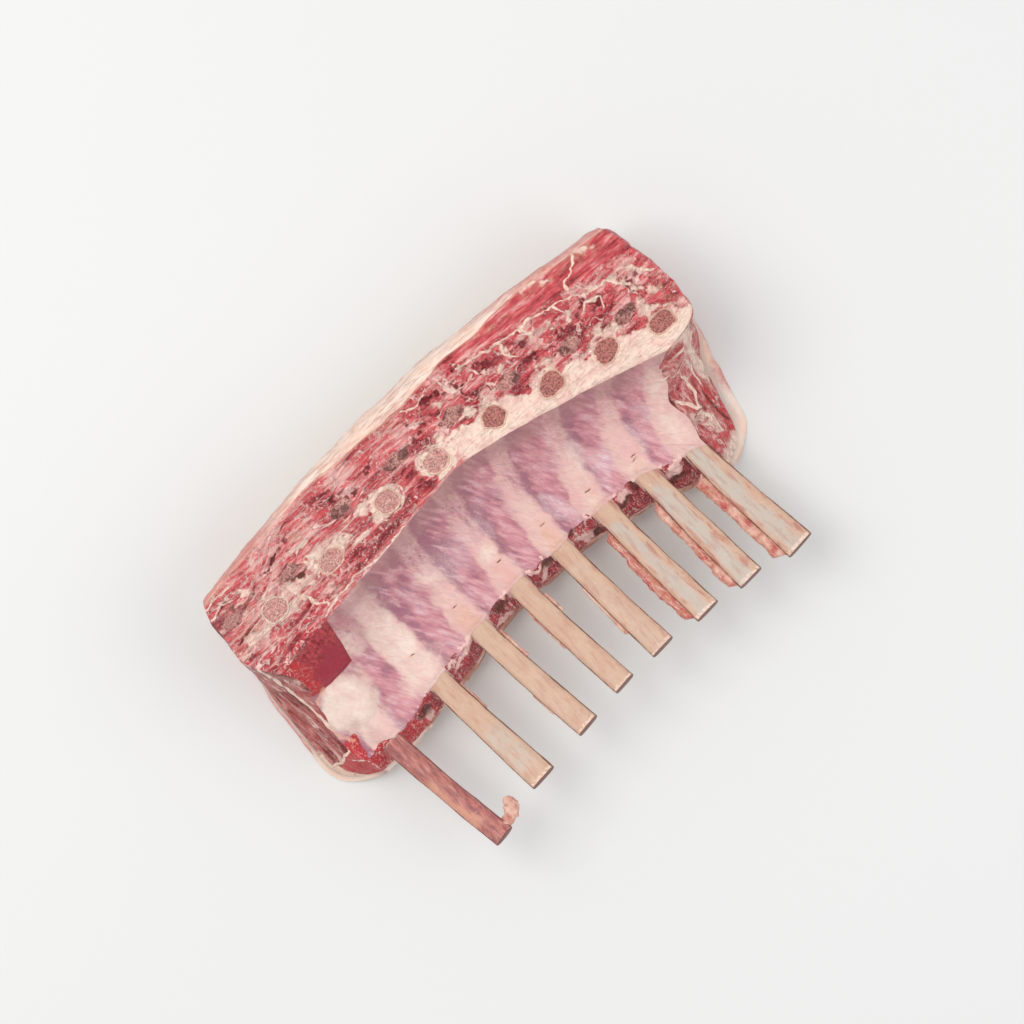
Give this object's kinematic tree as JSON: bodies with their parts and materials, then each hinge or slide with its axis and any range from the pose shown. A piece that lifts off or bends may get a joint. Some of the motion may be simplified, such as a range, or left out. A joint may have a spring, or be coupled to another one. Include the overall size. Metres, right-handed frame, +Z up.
{
  "type": "raw rack of lamb",
  "caption": "Raw rack of lamb with frenched ribs, lying on its fat cap with the inner side of the ribs and the sawn chine face up.",
  "frame": {"origin": "middle of the footprint on the board the rack rests on", "axes": "+X along the row of ribs towards the shoulder end, +Y towards the sawn chine face, -Y towards the rib tips, +Z up, out of the inner side of the ribs"},
  "size_m": [0.1988, 0.1362, 0.0505],
  "materials": {
    "meat": "moist raw lamb, dark pinkish red with pale sinew and marbling",
    "fat": "firm raw fat, cream to pale pink, slightly waxy",
    "bone": "scraped raw bone, beige with pinkish membrane traces",
    "spongy_bone": "sawn spongy bone with dark red marrow"
  },
  "bodies": {
    "root": {"loin_meat": "meat", "fat_cap": "fat", "rib_1": "bone", "rib_2": "bone", "rib_3": "bone", "rib_4": "bone", "rib_5": "bone", "rib_6": "bone", "rib_7": "bone", "rib_8": "bone", "process_1": "spongy_bone", "process_2": "spongy_bone", "process_3": "spongy_bone", "process_4": "spongy_bone", "process_5": "spongy_bone", "process_6": "spongy_bone", "process_7": "spongy_bone", "process_8": "spongy_bone", "rib_meat_1": "meat", "rib_meat_5": "meat", "rib_meat_6": "meat", "rib_meat_7": "meat", "rib_meat_8": "meat"}
  },
  "joints": []
}
